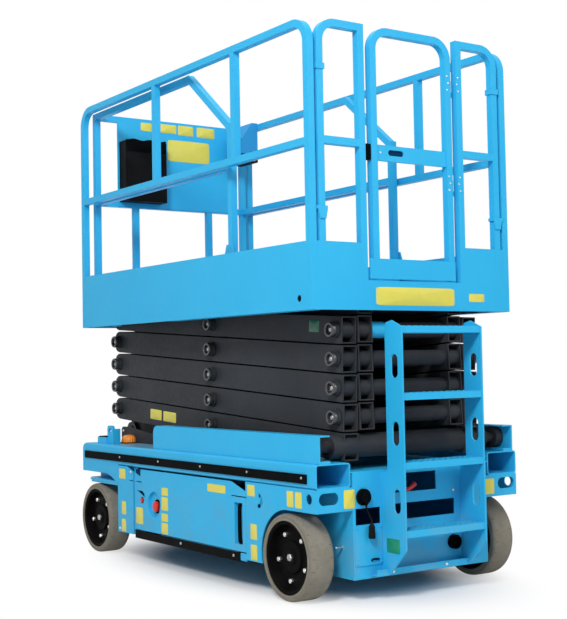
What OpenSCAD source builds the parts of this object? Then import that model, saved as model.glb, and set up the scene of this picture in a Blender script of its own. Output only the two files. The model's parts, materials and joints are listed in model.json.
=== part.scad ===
// Electric scissor lift: a slab chassis on four solid-tyred wheels, a five-level
// stack of crossed arms, and a railed work platform with a roll-out extension.
// Millimetres. +X runs forward to the steered wheels, +Y to the left side, +Z up.
// The origin is on the ground, under the middle of the whole machine's box.

/* [Chassis] */
// length of the side sills
chassis_l = 2286; // [2200:2:2400]
// width over the side sills
chassis_w = 1166; // [1140:2:1190]
// underside of the side sills
sill_z = 497; // [470:1:510]
// height of the side sills
sill_h = 106; // [90:1:120]
// width of one side sill
sill_w = 183; // [160:1:190]
// thickness of the chassis plates
wall = 6; // [4:0.5:8]
// underside of the body
body_z = 100; // [90:1:115]
// top of the body's deck
deck_plate_z = 563; // [545:1:575]
// lower edge of the side plates
plate_z = 142; // [130:1:150]

/* [Wheels] */
// tyre diameter
wheel_d = 381; // [360:1:386]
// tyre width
wheel_w = 127; // [110:1:130]
// diameter of the rim's seat for the tyre
rim_d = 321; // [300:1:330]
// diameter of the wheel spindles
spindle_d = 50; // [40:1:56]
// from one axle line to the other
wheelbase = 1883; // [1860:1:1900]
// rear axle, behind the sills' middle
rear_axle = 921; // [905:1:935]
// from the kingpin out to the middle of the tyre
kingpin_offset = 95; // [90:1:100]
// kingpin diameter
kingpin_d = 26; // [20:1:30]

/* [Swing-out trays] */
// length of a tray
tray_l_x = 1095; // [1000:1:1100]
// front end of the trays, ahead of the sills' middle
tray_front = 511; // [500:1:515]
// underside of the trays
tray_low = 173; // [170:1:190]
// wall of a tray
tray_wall = 4; // [3:0.5:6]

/* [Scissor arms] */
// height of an arm's tube
arm_h = 120; // [100:1:124]
// width of an arm's tube
arm_w = 80; // [60:1:84]
// wall of an arm's tube
arm_wall = 6; // [4:0.5:10]
// from the middle of the machine to the arms' end pins, when folded
pin_reach = 1045; // [1020:1:1060]
// height of one folded level
row_pitch = 127.5; // [126:0.5:132]
// height of the lowest pins
row_low = 666; // [660:1:672]
// arm pin diameter
pin_d = 50; // [40:1:56]
// diameter of the lowest arms' rollers
roller_d = 98; // [90:1:98]

/* [Platform] */
// platform length
platform_l = 2268; // [2220:2:2300]
// platform width over the skirts
platform_w = 1160; // [1140:2:1170]
// height of the toe boards above the floor
toe_h = 164; // [150:1:180]
// height of the guard rails above the floor
rail_h = 1135; // [1100:1:1150]
// height of the middle rail above the floor
mid_rail_h = 610; // [560:1:640]
// side of the square rail tube
rail_s = 34; // [30:1:36]
// wall of the rail tube
rail_wall = 3; // [2:0.5:4]
// width of the gate
gate_w = 476; // [440:2:484]

/* [Extension deck] */
// length of the roll-out deck
extension_l = 1512; // [1400:2:1540]

/* [Ladder] */
// how far the ladder reaches behind the chassis
ladder_reach = 161; // [150:1:175]
// width over the ladder's side plates
ladder_w = 468; // [430:2:478]
// top of the ladder
ladder_top = 1211; // [1196:1:1220]

/* [Hidden] */
$fn = 64;
levels = 5;
// running fit of a pin, and gap between faces that only just miss
run = 0.05;
gap = 0.3;

half_l = chassis_l / 2;
sill_out = chassis_w / 2;
sill_in = sill_out - sill_w;
sill_top = sill_z + sill_h;
sill_round = 14;
nose_round = 40;
body_half = sill_in - 10;
body_front = 703;
tower_half = body_half - 190;
nose_l = 50;
nose_low = 485;
skirt_nose_low = 445;

wheel_r = wheel_d / 2;
rim_r = rim_d / 2;
front_axle = wheelbase - rear_axle;
tyre_out = sill_out + 8;
wheel_y = tyre_out - wheel_w / 2;
wheel_in = tyre_out - wheel_w;
kingpin_y = wheel_y - kingpin_offset;
arch_gap = 15.5;
arch_r = wheel_r + arch_gap;
knuckle_low = 118;
knuckle_high = 273;
ear_h = 19;
steer_arm = 105;

// the whole box reaches back to the ladder and forward to the sills or the tyres
front_end = max(half_l, front_axle + wheel_r);
mid_x = (half_l + ladder_reach - front_end) / 2;

tray_rear = tray_front - tray_l_x;
tray_top = sill_z - 7;
tray_out = sill_out - 3;
tray_in = sill_in + 2;
tray_pin_d = 12;
tray_pin_x = tray_front - 8;
tray_pin_y = tray_out - 12;
tray_lining = 24;
plate_front = tray_front + 13;
plate_rear = tray_rear - 6;
bulkhead_rear = plate_rear - 15;
side_slot_z = 424;

guard_y = sill_out - 128;
guard_z = 148;
guard_d = 24;
guard_front = tray_front - 6;
guard_rear = tray_front - 1041;

tie_hole_d = 44;
tie_hole_x = -half_l + 53;
tie_z = 455;
eye_d = 30;
eye_x = 868;
eye_z = sill_top + 72;
lug_out = sill_out - 37;
lug_t = 12;

arm_rise = atan2(row_pitch, 2 * pin_reach);
arm_l = sqrt(pow(2 * pin_reach, 2) + pow(row_pitch, 2));
arm_end = 46;
arm_nose_d = arm_h - 2;
arm_gap = 10;
outer_out = sill_in - 8;
outer_in = outer_out - arm_w;
inner_out = outer_in - arm_gap;
inner_in = inner_out - arm_w;
row_top = row_low + levels * row_pitch;
boss_d = pin_d + 26;
head_d = pin_d + 22;
cross_d = 70;
low_tube_d = 106;
lug_gap = 6;

rail_out = sill_out - 18;
rail_t = 8;
rail_in = rail_out - 60;
rail_front = 325;
rail_round = 40;
roller_gap = 2;

rail_half = platform_l / 2;
skirt_out = platform_w / 2;
skirt_t = 4;
skirt_in = skirt_out - skirt_t;
post_y = skirt_out - rail_s / 2;
floor_t = 4;
floor_z = row_top + 86.5;
skirt_low = row_top - 44.5;
toe_top = floor_z + toe_h;
rail_top = floor_z + rail_h;
mid_top = floor_z + mid_rail_h;
rail_bend = 110;
left_posts = [-525, 250];
right_posts = [-525];
channel_t = 5;
channel_d = 80;
channel_out = skirt_in - 6;
channel_w = 54;
channel_x = [-rail_half + 24, 130];
top_roller_d = 76;

gate_half = gate_w / 2;
gate_gap = 34;
gate_bend = 100;
gate_low = floor_z + 7;
kick_h = 90;
kick_lap = 24;
latch_h = 71;
frame_bend = 100;
jamb_y = gate_half + gate_gap + rail_s / 2;
corner_y = skirt_out - rail_s - 15 - rail_s / 2;
hinge_x = -rail_half + 29;
hinge_y = -gate_half - gate_gap / 2;
hinge_pin_d = 8;
hinge_d = 16;
hinge_h = 50;
hinge_seat_h = 24;
hinge_z = [mid_top - 180, rail_top - 240];

ext_y = skirt_out - rail_s - 32 - rail_s / 2;
ext_front = rail_half - rail_s + 12;
ext_rear = ext_front - extension_l;
ext_lift = 6;
ext_deck_t = 5;
ext_z = floor_z + ext_lift;
ext_top = rail_top - 25;
ext_toe_h = 144;
ext_drop = 310;
ext_brace_x = 0;
ext_side = ext_y + rail_s / 2;
ext_leg_y = ext_y - 247;
panel_y = [-ext_y + 97, ext_y - 122];
box_y = [ext_y - 405, ext_y - 135];
box_depth = 80;
console_x = [ext_front - 232, ext_front - 52];

lug_y = 50;
cyl_u = 450;
cyl_pin_d = 44;
cyl_d = 100;
cyl_rod_d = 56;

ladder_half = ladder_w / 2;
ladder_d = 114;
ladder_x = -half_l - ladder_reach;
ladder_front = ladder_x + ladder_d;
ladder_t = 8;
ladder_low = 112;
ladder_cut = 227;
ladder_fold = deck_plate_z - 7;
ladder_slot_x = ladder_x + 53;
foot_half = ladder_half + 66;
wall_open = ladder_half - 64;

socket_gap = 102;
socket_y = ladder_half + socket_gap;
socket_z = 452;
lead_d = 8;

tread_z = [1185, 896, 600, 310];
tread_h = 30;

blue = [0.16, 0.62, 0.85];
charcoal = [0.13, 0.14, 0.16];
black = [0.03, 0.03, 0.03];
steel = [0.62, 0.63, 0.65];
tyre_grey = [0.36, 0.34, 0.31];
orange = [0.95, 0.42, 0.08];
grey = [0.35, 0.36, 0.38];

// moves from the sills' middle to the middle of the whole box
module at_mid() translate([mid_x, 0, 0]) children();

// a piece and its mirror image on the other side
module both() {
  children();
  mirror([0, 1, 0]) children();
}

// a block between pairs of limits
module slab(x, y, z)
  translate([x[0], y[0], z[0]]) cube([x[1] - x[0], y[1] - y[0], z[1] - z[0]]);

// round bars along each axis
module bar_y(x, z, d, y)
  translate([x, y[0], z]) rotate([-90, 0, 0]) cylinder(d = d, h = y[1] - y[0]);
module bar_x(y, z, d, x)
  translate([x[0], y, z]) rotate([0, 90, 0]) cylinder(d = d, h = x[1] - x[0]);
module bar_z(x, y, d, z)
  translate([x, y, z[0]]) cylinder(d = d, h = z[1] - z[0]);

// flat outlines carried along X (drawn in Y and Z) or along Y (drawn in X and Z)
module along_x(x) translate([x[0], 0, 0]) rotate([90, 0, 90]) linear_extrude(x[1] - x[0]) children();
module along_y(y) translate([0, y[1], 0]) rotate([90, 0, 0]) linear_extrude(y[1] - y[0]) children();

// outline between pairs of limits with round corners
module round_box(u, v, r) {
  translate([u[0] + r, v[0]]) square([u[1] - u[0] - 2 * r, v[1] - v[0]]);
  translate([u[0], v[0] + r]) square([u[1] - u[0], v[1] - v[0] - 2 * r]);
  for (a = [u[0] + r, u[1] - r], b = [v[0] + r, v[1] - r]) translate([a, b]) circle(r);
}

// outline with only its two upper corners round
module round_top(u, v, r) {
  translate([u[0] + r, v[0]]) square([u[1] - u[0] - 2 * r, v[1] - v[0]]);
  translate([u[0], v[0]]) square([u[1] - u[0], v[1] - v[0] - r]);
  for (a = [u[0] + r, u[1] - r]) translate([a, v[1] - r]) circle(r);
}

// outline with only its upper right corner round
module round_end(u, v, r) {
  translate([u[0], v[0]]) square([u[1] - u[0] - r, v[1] - v[0]]);
  translate([u[0], v[0]]) square([u[1] - u[0], v[1] - v[0] - r]);
  translate([u[1] - r, v[1] - r]) circle(r);
}

// outline of a slot with round ends, lying along the first axis or standing
module slot_lying(u, v, l, w) {
  translate([u - l / 2 + w / 2, v - w / 2]) square([l - w, w]);
  for (s = [-1, 1]) translate([u + s * (l - w) / 2, v]) circle(w / 2);
}
module slot_standing(u, v, w, h) {
  translate([u - w / 2, v - h / 2 + w / 2]) square([w, h - w]);
  for (s = [-1, 1]) translate([u, v + s * (h - w) / 2]) circle(w / 2);
}

// one hollow side sill: a round-cornered tube, open at its rear and round at its nose
module sill() difference() {
  intersection() {
    along_x([-half_l, half_l]) round_box([sill_in, sill_out], [sill_z, sill_top], sill_round);
    along_y([sill_in - 1, sill_out + 1])
      round_end([-half_l - 1, half_l], [sill_z - 1, sill_top], nose_round);
  }
  along_x([-half_l - 1, half_l - nose_round])
    round_box([sill_in + wall, sill_out - wall], [sill_z + wall, sill_top - wall], sill_round - wall);
  bar_z(tray_pin_x, tray_pin_y, tray_pin_d + 2 * run, [sill_z - 1, sill_z + wall + 1]);
}

// three-cornered grips and the slits under them, at both ends of a tray
module side_cuts() along_y([sill_out - wall - 2, sill_out + 1])
  for (x = [tray_front - 70, tray_rear - 4]) {
    polygon([[x, sill_z], [x + 149, sill_z], [x + 4, sill_z - 46]]);
    translate([x - 10, side_slot_z - 2.5]) square([135, 5]);
  }

// hook-shaped hole ahead of the rear wheel
module hook_hole() along_y([sill_out - wall - 2, sill_out + 1]) translate([plate_rear - 107, 418]) {
  difference() {
    intersection() {
      circle(33);
      translate([-40, -40]) square([40, 80]);
    }
    circle(15);
  }
  translate([0, -24]) circle(10);
}

// side plates: behind the front wheel, and over the rear one
module side_plates() {
  skin = [sill_out - wall, sill_out];
  inside = [body_half, sill_out - wall];
  upright = [plate_z, sill_z];
  difference() {
    slab([plate_front, body_front], skin, upright);
    side_cuts();
  }
  slab([plate_front, plate_front + wall], inside, upright);
  slab([body_front - wall, body_front], [tower_half + 30, sill_out - wall], upright);
  slab([bulkhead_rear - wall, bulkhead_rear], inside, upright);
  translate([-rear_axle + arch_r + 3, 0, 0]) slab([0, wall], inside, upright);
  slab([plate_rear - 1, plate_rear + 49], skin, [plate_z - 8, tray_low - 5]);
  difference() {
    slab([-half_l, plate_rear], skin, upright);
    bar_y(-rear_axle, wheel_r, 2 * arch_r, [sill_out - wall - 1, sill_out + 1]);
    slab([-half_l - 1, -rear_axle], [sill_out - wall - 1, sill_out + 1], [plate_z - 1, wheel_r + arch_r]);
    bar_y(tie_hole_x, tie_z, tie_hole_d, [sill_out - wall - 1, sill_out + 1]);
    hook_hole();
    side_cuts();
  }
}

// rear corner plate with its tie-down slot
module corner_plate() difference() {
  slab([-half_l, -half_l + wall], [body_half, sill_out], [wheel_r + arch_r, sill_z]);
  along_x([-half_l - 1, -half_l + wall + 1]) slot_lying(sill_out - 66.5, tie_z, 104, 51);
}

// body between the wheels, narrow between the steered ones
module body_box() {
  rear_wall = [-half_l - 1, -half_l + wall + 1];
  difference() {
    slab([-half_l, body_front], [-body_half, body_half], [body_z, deck_plate_z]);
    slab([-half_l + wall, body_front - wall], [-body_half + wall, body_half - wall],
      [body_z + wall, deck_plate_z - wall]);
    slab(rear_wall, [body_half - 150, body_half - 14], [332, 403]);
    slab(rear_wall, [-wall_open + 88, wall_open], [457, 540]);
    slab(rear_wall, [-wall_open - 20, wall_open], [338, 409]);
  }
  slab([-half_l - 4, -half_l], [ladder_half + 1, body_half - 7], [157, 330]);
  difference() {
    slab([body_front - wall, half_l - nose_l], [-tower_half, tower_half], [125, deck_plate_z]);
    slab([body_front, half_l - nose_l - wall], [-tower_half + wall, tower_half - wall],
      [125 + wall, deck_plate_z - wall]);
  }
  slab([-half_l, half_l], [-sill_in, sill_in], [deck_plate_z - wall, deck_plate_z]);
  slab([half_l - nose_l, half_l], [-sill_in - wall, sill_in + wall], [nose_low, deck_plate_z]);
}

// skirt under the sill's nose, over the steered wheel
module nose_plate() {
  slab([body_front - 1, half_l], [sill_out - wall, sill_out], [skirt_nose_low, sill_z + 20]);
  slab([half_l - wall, half_l], [sill_out - 40, sill_out], [skirt_nose_low, sill_z + 20]);
}

// front axle beam and its kingpins
module axle_beam() {
  z = [knuckle_low + ear_h + 3, knuckle_high - 3];
  slab([front_axle - 25, front_axle + 25], [-kingpin_y, kingpin_y], z);
  both() {
    bar_z(front_axle, kingpin_y, 50, z);
    bar_z(front_axle, kingpin_y, kingpin_d, [knuckle_low - 4, knuckle_high + ear_h + 4]);
  }
}

// stub axle of a rear wheel
module rear_stub() {
  slab([-rear_axle - 60, -rear_axle + 60], [body_half - wall, wheel_in - 9], [wheel_r - 60, wheel_r + 60]);
  bar_y(-rear_axle, wheel_r, spindle_d, [body_half, wheel_y + 20]);
}

// lug that carries the lowest arms' fixed pivot
module pivot_lug() difference() {
  along_y([inner_out + lug_gap, inner_out + lug_gap + lug_t])
    round_top([pin_reach - 55, pin_reach + 55], [deck_plate_z - wall, row_low + 45], 45);
  bar_y(pin_reach, row_low, pin_d + 2 * run, [inner_out, inner_out + 30]);
}

// folded lug with a lifting eye, and the step in front of it
module sill_lug() {
  difference() {
    along_y([lug_out - lug_t, lug_out])
      round_top([eye_x - 38, eye_x + 32], [sill_top - 1, eye_z + 30], 18);
    bar_y(eye_x, eye_z, eye_d, [lug_out - 20, lug_out + 20]);
  }
  slab([eye_x - 38, eye_x - 26], [lug_out - 46, lug_out - lug_t], [sill_top - 1, eye_z + 12]);
  slab([eye_x + 32 - lug_t, eye_x + 127], [lug_out - 46, lug_out + 14], [sill_top - 1, sill_top + 37]);
}

// shelf over the steered wheel, with a round nose
module wheel_shelf() translate([0, 0, wheel_d + arch_gap]) linear_extrude(12)
  round_end([body_front, front_axle + 143], [sill_out - 103, sill_out - wall], 60);

// brackets for the drop guard's hinge tube
module guard_bracket(x) difference() {
  slab([x, x + 10], [body_half - wall, guard_y + 18], [guard_z - 18, guard_z + 18]);
  bar_x(guard_y, guard_z, guard_d + 2 * run, [x - 1, x + 11]);
}

module chassis() color(blue) at_mid() {
  body_box();
  axle_beam();
  both() {
    sill();
    side_plates();
    corner_plate();
    nose_plate();
    rear_stub();
    pivot_lug();
    sill_lug();
    wheel_shelf();
    guard_bracket(guard_rear + 10);
    guard_bracket(guard_front - 25);
  }
}

// channels that the lowest arms' rollers run in
module slide_rails() color(blue) at_mid() both() {
  low = row_low - roller_d / 2 - roller_gap;
  high = row_low + roller_d / 2 + roller_gap;
  along_y([rail_out - rail_t, rail_out])
    round_end([-half_l, rail_front], [sill_top, high + wall], rail_round);
  slab([-half_l, rail_front], [rail_in, rail_out - rail_t], [sill_top, low]);
  slab([-half_l, rail_front - rail_round], [rail_in, rail_out - rail_t], [high, high + wall]);
}

// one side plate of the ladder: slots for the hands, a sloping head, its lower rear corner cut
// off, and its lower part carried on to the chassis
module ladder_side() along_y([ladder_half - ladder_t, ladder_half]) difference() {
  polygon([
    [-half_l, ladder_low],
    [ladder_front, ladder_low],
    [ladder_x, ladder_cut],
    [ladder_x, ladder_top - 29],
    [ladder_front - 46, ladder_top],
    [ladder_front - 10, ladder_top - 8],
    [ladder_front, ladder_top - 21],
    [ladder_front, ladder_fold + 14],
    [ladder_front + 14, ladder_fold],
    [-half_l, ladder_fold]]);
  for (z = [1013, 722, 432]) slot_standing(ladder_slot_x, z, 46, 104);
}

// one ladder tread with turned-down edges, let into the side plates
module tread(z) {
  reach = ladder_half - ladder_t + 2;
  difference() {
    slab([ladder_x + 4, ladder_front - 2], [-reach, reach], [z - tread_h, z]);
    slab([ladder_x + 8, ladder_front - 6], [-reach - 1, reach + 1], [z - tread_h - 1, z - 4]);
  }
}

// foot plate with a turned-up edge
module ladder_foot() {
  slab([ladder_front, -half_l], [-foot_half, foot_half], [ladder_low, ladder_low + 6]);
  slab([ladder_front, ladder_front + 5], [-foot_half, foot_half], [ladder_low, ladder_low + 28]);
}

module ladder() color(blue) at_mid() {
  both() ladder_side();
  for (z = tread_z) tread(z);
  ladder_foot();
}

module rub_strips() color(black) at_mid() both()
  slab([-half_l + 64, half_l - 37], [sill_out, sill_out + 7], [sill_z + 22, sill_z + 62]);

module beacon() color(orange) at_mid() translate([eye_x - 3, sill_out - 152, sill_top]) {
  cylinder(d = 92, h = 5);
  translate([0, 0, 5]) intersection() {
    sphere(d = 84);
    translate([-50, -50, 0]) cube([100, 100, 60]);
  }
}

// charging inlet with its gland, and a horn beside it
lead_x = -half_l - 24;
lead_top = socket_z - 32;
module inlet() color(black) at_mid() {
  bar_x(socket_y, socket_z, 72, [-half_l - 14, -half_l]);
  bar_x(socket_y, socket_z, 48, [-half_l - 30, -half_l - 14]);
  bar_z(lead_x, socket_y, 16, [lead_top, socket_z]);
  difference() {
    bar_x(-wall_open - 6, 213, 64, [-half_l - 24, -half_l]);
    bar_x(-wall_open - 6, 213, 50, [-half_l - 25, -half_l - 8]);
  }
}

// route of the short hanging lead, in Y and Z from the gland's end
lead_route = [[0, 0], [-1, -12], [-6, -26], [-14, -42], [-22, -56], [-27, -66], [-28, -75]];
lead_sides = 8;
function lead_way(i) = i == 0 || i == len(lead_route) - 1 ? [0, -1]
  : (lead_route[i + 1] - lead_route[i - 1]) / norm(lead_route[i + 1] - lead_route[i - 1]);
function lead_ring(i) = [for (k = [0:lead_sides - 1])
  let (a = 360 * k / lead_sides, t = lead_way(i), u = cos(a) * lead_d / 2, v = sin(a) * lead_d / 2)
  [u, lead_route[i][0] - v * t[1], lead_route[i][1] + v * t[0]]];

module inlet_lead() color(black) at_mid() translate([lead_x, socket_y, lead_top]) {
  n = lead_sides;
  m = len(lead_route);
  polyhedron([for (i = [0:m - 1]) each lead_ring(i)], concat(
    [[for (k = [0:n - 1]) k]],
    [for (i = [0:m - 2], k = [0:n - 1])
      [i * n + k, (i + 1) * n + k, (i + 1) * n + (k + 1) % n, i * n + (k + 1) % n]],
    [[for (k = [0:n - 1]) m * n - 1 - k]]));
}

module inlet_plug() color(black) at_mid()
  bar_z(lead_x, socket_y - 28, 30, [lead_top - 146, lead_top - 75]);

// tyre and rim, turned about the axle with the outer face towards +Y
module tyre_body() rotate([-90, 0, 0]) rotate_extrude()
  polygon([[rim_r, -wheel_w / 2 + 4], [wheel_r - 10, -wheel_w / 2],
    [wheel_r, -wheel_w / 2 + 10], [wheel_r, wheel_w / 2 - 10],
    [wheel_r - 10, wheel_w / 2], [rim_r, wheel_w / 2 - 4]]);

module rim_body() rotate([-90, 0, 0]) rotate_extrude()
  polygon([[spindle_d / 2 + run, -28], [60, -28], [60, 8], [rim_r - 18, 8],
    [rim_r - 18, -wheel_w / 2 + 6], [rim_r, -wheel_w / 2 + 6],
    [rim_r, wheel_w / 2 - 6], [rim_r - 16, wheel_w / 2 - 8],
    [rim_r - 24, 22], [72, 22], [68, 34], [spindle_d / 2 + run, 34]]);

module wheel_at(x, side) at_mid() translate([x, side * wheel_y, wheel_r])
  mirror([0, side < 0 ? 1 : 0, 0]) children();

module tyre_fl() color(tyre_grey) wheel_at(front_axle, 1) tyre_body();
module tyre_fr() color(tyre_grey) wheel_at(front_axle, -1) tyre_body();
module tyre_rl() color(tyre_grey) wheel_at(-rear_axle, 1) tyre_body();
module tyre_rr() color(tyre_grey) wheel_at(-rear_axle, -1) tyre_body();
module rim_fl() color(black) wheel_at(front_axle, 1) rim_body();
module rim_fr() color(black) wheel_at(front_axle, -1) rim_body();
module rim_rl() color(black) wheel_at(-rear_axle, 1) rim_body();
module rim_rr() color(black) wheel_at(-rear_axle, -1) rim_body();

// steering knuckle: two ears on the kingpin, a face plate and the wheel's spindle
module knuckle() translate([front_axle, kingpin_y, 0]) difference() {
  union() {
    for (z = [knuckle_low, knuckle_high]) {
      bar_z(0, 0, 60, [z, z + ear_h]);
      slab([-30, 30], [0, 32], [z, z + ear_h]);
    }
    bar_y(0, wheel_r, 205, [31, 45]);
    bar_y(0, wheel_r, spindle_d, [45, kingpin_offset + 20]);
    slab([0, steer_arm], [-15, 15], [knuckle_low, knuckle_low + ear_h]);
    bar_z(steer_arm, 0, 40, [knuckle_low, knuckle_low + ear_h]);
    bar_z(steer_arm, 0, 20, [knuckle_low - 38, knuckle_low]);
  }
  bar_z(0, 0, kingpin_d + 2 * run, [knuckle_low - 18, knuckle_high + ear_h + 8]);
}

module knuckle_l() color(charcoal) at_mid() knuckle();
module knuckle_r() color(charcoal) at_mid() mirror([0, 1, 0]) knuckle();

module track_rod() color(steel) at_mid() translate([front_axle + steer_arm, 0, 0]) difference() {
  z = [knuckle_low - 32, knuckle_low - 6];
  union() {
    slab([-14, 14], [-kingpin_y, kingpin_y], z);
    both() bar_z(0, kingpin_y, 40, z);
  }
  both() bar_z(0, kingpin_y, 20 + 2 * run, [knuckle_low - 38, knuckle_low]);
}

// swing-out tray: an open-topped shell on a pin under the sill
stop_x = tray_front - 214;
stop_z = 318;
stop_d = 130;
grip_x = [tray_rear + 28, tray_rear + 96];
grip_z = [205, 395];
module tray() {
  skin = [tray_out - tray_wall - 1, tray_out + 1];
  difference() {
    slab([tray_rear, tray_front], [tray_in, tray_out], [tray_low, tray_top]);
    slab([tray_rear + tray_wall, tray_front - tray_wall], [tray_in + tray_wall, tray_out - tray_wall],
      [tray_low + wall, tray_top + 1]);
    slab([tray_rear + 40, tray_front - 40], [tray_in - 1, tray_in + tray_wall + 1],
      [tray_low + 60, tray_top + 1]);
    side_cuts();
    bar_y(stop_x, stop_z, stop_d, skin);
    slab(grip_x, skin, grip_z);
    along_y(skin) translate([tray_front, stop_z])
      polygon([[-23, 60], [-86, 60], [-106, 48], [-112, 27], [-71, 44]]);
  }
  difference() {
    bar_y(stop_x, stop_z, stop_d + 2 * tray_wall, [tray_out - 16 - tray_wall, tray_out]);
    bar_y(stop_x, stop_z, stop_d, [tray_out - 16, tray_out + 1]);
  }
  difference() {
    slab([grip_x[0] - tray_wall, grip_x[1] + tray_wall], [tray_out - 22, tray_out - tray_wall],
      [grip_z[0] - tray_wall, grip_z[1] + tray_wall]);
    slab(grip_x, [tray_out - 22 + tray_wall, tray_out], grip_z);
  }
  bar_z(tray_pin_x, tray_pin_y, 2 * tray_pin_d, [tray_low + wall, tray_top]);
  bar_z(tray_pin_x, tray_pin_y, tray_pin_d, [tray_top, sill_z + wall]);
}

module tray_l() color(blue) at_mid() tray();
module tray_r() color(blue) at_mid() mirror([0, 1, 0]) tray();

module battery_pack() color(black) at_mid()
  slab([tray_rear + 124, tray_front - 81], [tray_in + 14, tray_out - tray_lining],
    [tray_low + wall, tray_low + 280]);

module hydraulic_pack() color(grey) at_mid() mirror([0, 1, 0])
  slab([tray_rear + 154, tray_front - 131], [tray_in + 14, tray_out - tray_lining],
    [tray_low + wall, tray_low + 260]);

// drop guard that closes the ground gap when the platform is up
module guard() {
  slab([guard_rear - 5, guard_front], [sill_out - 7, sill_out - 1], [guard_z - 21, guard_z + 19]);
  slab([guard_rear - 5, guard_front], [sill_out - 37, sill_out - 1], [guard_z - 21, guard_z - 15]);
  for (x = [guard_rear + 60, guard_front - 65])
    slab([x, x + 10], [guard_y, sill_out - 2], [guard_z - 12, guard_z + 12]);
  bar_x(guard_y, guard_z, guard_d, [guard_rear + 5, guard_front - 10]);
}

module guard_l() color(black) at_mid() guard();
module guard_r() color(black) at_mid() mirror([0, 1, 0]) guard();

// arm tube about its own middle, lying along X: round at the front, open at the rear
module arm_tube(y0) {
  difference() {
    slab([-arm_l / 2 - arm_end, arm_l / 2], [y0, y0 + arm_w], [-arm_h / 2, arm_h / 2]);
    slab([-arm_l / 2 - arm_end - 1, arm_l / 2], [y0 + arm_wall, y0 + arm_w - arm_wall],
      [-arm_h / 2 + arm_wall, arm_h / 2 - arm_wall]);
  }
  bar_y(arm_l / 2, 0, arm_nose_d, [y0, y0 + arm_w]);
  for (x = [-arm_l / 2, 0]) bar_y(x, 0, boss_d, [y0, y0 + arm_w]);
}

// pin that reaches out through the next arm and ends in a head
module node_pin(x) {
  bar_y(x, 0, pin_d, [inner_in, outer_out + 4]);
  bar_y(x, 0, head_d, [outer_out + 2, outer_out + 14]);
}

// roller on a long pin
module roller_pin(x, y0, d, y) {
  bar_y(x, 0, pin_d, [y0, y[1]]);
  bar_y(x, 0, d, y);
}

// where a cylinder's eye sits: a split cross tube with a pin or two lugs
module cylinder_seat(x, pinned) {
  both() bar_y(x, 0, 76, [lug_y, inner_in + arm_wall]);
  if (pinned) bar_y(x, 0, cyl_pin_d, [-lug_y - 1, lug_y + 1]);
}

module inner_arm(k, seat) at_mid()
  translate([0, 0, row_low + (k - 0.5) * row_pitch]) rotate([0, arm_rise, 0]) {
    both() {
      arm_tube(inner_in);
      node_pin(0);
      if (k == 1) bar_y(arm_l / 2, 0, pin_d, [inner_in, inner_out + lug_gap + lug_t + 4]);
      if (k > 1) node_pin(arm_l / 2);
      if (k < levels) node_pin(-arm_l / 2);
      if (k == levels) roller_pin(-arm_l / 2, inner_in, top_roller_d, [channel_out - 44, channel_out - 1]);
    }
    for (x = [-arm_l / 2, -arm_l / 2 + 180, arm_l / 2 - 180, arm_l / 2])
      bar_y(x, 0, cross_d, [-inner_in - 1, inner_in + 1]);
    if (seat == 1) cylinder_seat(-cyl_u, true);
    if (seat == 2) cylinder_seat(cyl_u, false);
  }

module outer_arm(k) at_mid()
  translate([0, 0, row_low + (k - 0.5) * row_pitch]) rotate([0, -arm_rise, 0]) {
    both() {
      difference() {
        arm_tube(outer_in);
        for (x = [k > 1 ? -arm_l / 2 : 0, 0, k < levels ? arm_l / 2 : 0])
          bar_y(x, 0, pin_d + 2 * run, [outer_in - 1, outer_out + 1]);
      }
      if (k == 1) roller_pin(-arm_l / 2, outer_in, roller_d,
        [rail_in + 6, rail_out - rail_t - 4]);
      if (k == levels) bar_y(arm_l / 2, 0, pin_d, [outer_in, outer_out + lug_gap + lug_t + 4]);
    }
    if (k == 1) bar_y(-arm_l / 2, 0, low_tube_d, [-rail_in + 58, rail_in - 58]);
  }

module inner_1() color(charcoal) inner_arm(1, 1);
module inner_2() color(charcoal) inner_arm(2, 2);
module inner_3() color(charcoal) inner_arm(3, 1);
module inner_4() color(charcoal) inner_arm(4, 2);
module inner_5() color(charcoal) inner_arm(5, 0);
module outer_1() color(charcoal) outer_arm(1);
module outer_2() color(charcoal) outer_arm(2);
module outer_3() color(charcoal) outer_arm(3);
module outer_4() color(charcoal) outer_arm(4);
module outer_5() color(charcoal) outer_arm(5);

// lift cylinder between the inner arms of two neighbouring levels
cyl_x = cyl_u * cos(arm_rise);
cyl_low = row_pitch / 2 + cyl_u * sin(arm_rise);
cyl_high = 3 * row_pitch / 2 - cyl_u * sin(arm_rise);
cyl_l = sqrt(pow(2 * cyl_x, 2) + pow(cyl_high - cyl_low, 2));
cyl_tilt = atan2(cyl_high - cyl_low, 2 * cyl_x);

module cylinder_at(k) at_mid()
  translate([-cyl_x, 0, row_low + (k - 1) * row_pitch + cyl_low]) rotate([0, -cyl_tilt, 0]) children();

module barrel() difference() {
  union() {
    bar_y(0, 0, 90, [-lug_y + 5, lug_y - 5]);
    bar_x(0, 0, cyl_d, [20, cyl_l - 210]);
    bar_x(0, 0, cyl_d + 8, [cyl_l - 235, cyl_l - 205]);
  }
  bar_y(0, 0, cyl_pin_d + 2 * run, [-lug_y, lug_y]);
  bar_x(0, 0, cyl_rod_d + 2 * run, [200, cyl_l - 200]);
}

module piston_rod() {
  bar_x(0, 0, cyl_rod_d, [260, cyl_l - 30]);
  bar_y(cyl_l, 0, 74, [-lug_y + 8, lug_y - 8]);
}

module barrel_1() color(charcoal) cylinder_at(1) barrel();
module barrel_2() color(charcoal) cylinder_at(3) barrel();
module rod_1() color(steel) cylinder_at(1) piston_rod();
module rod_2() color(steel) cylinder_at(3) piston_rod();

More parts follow.
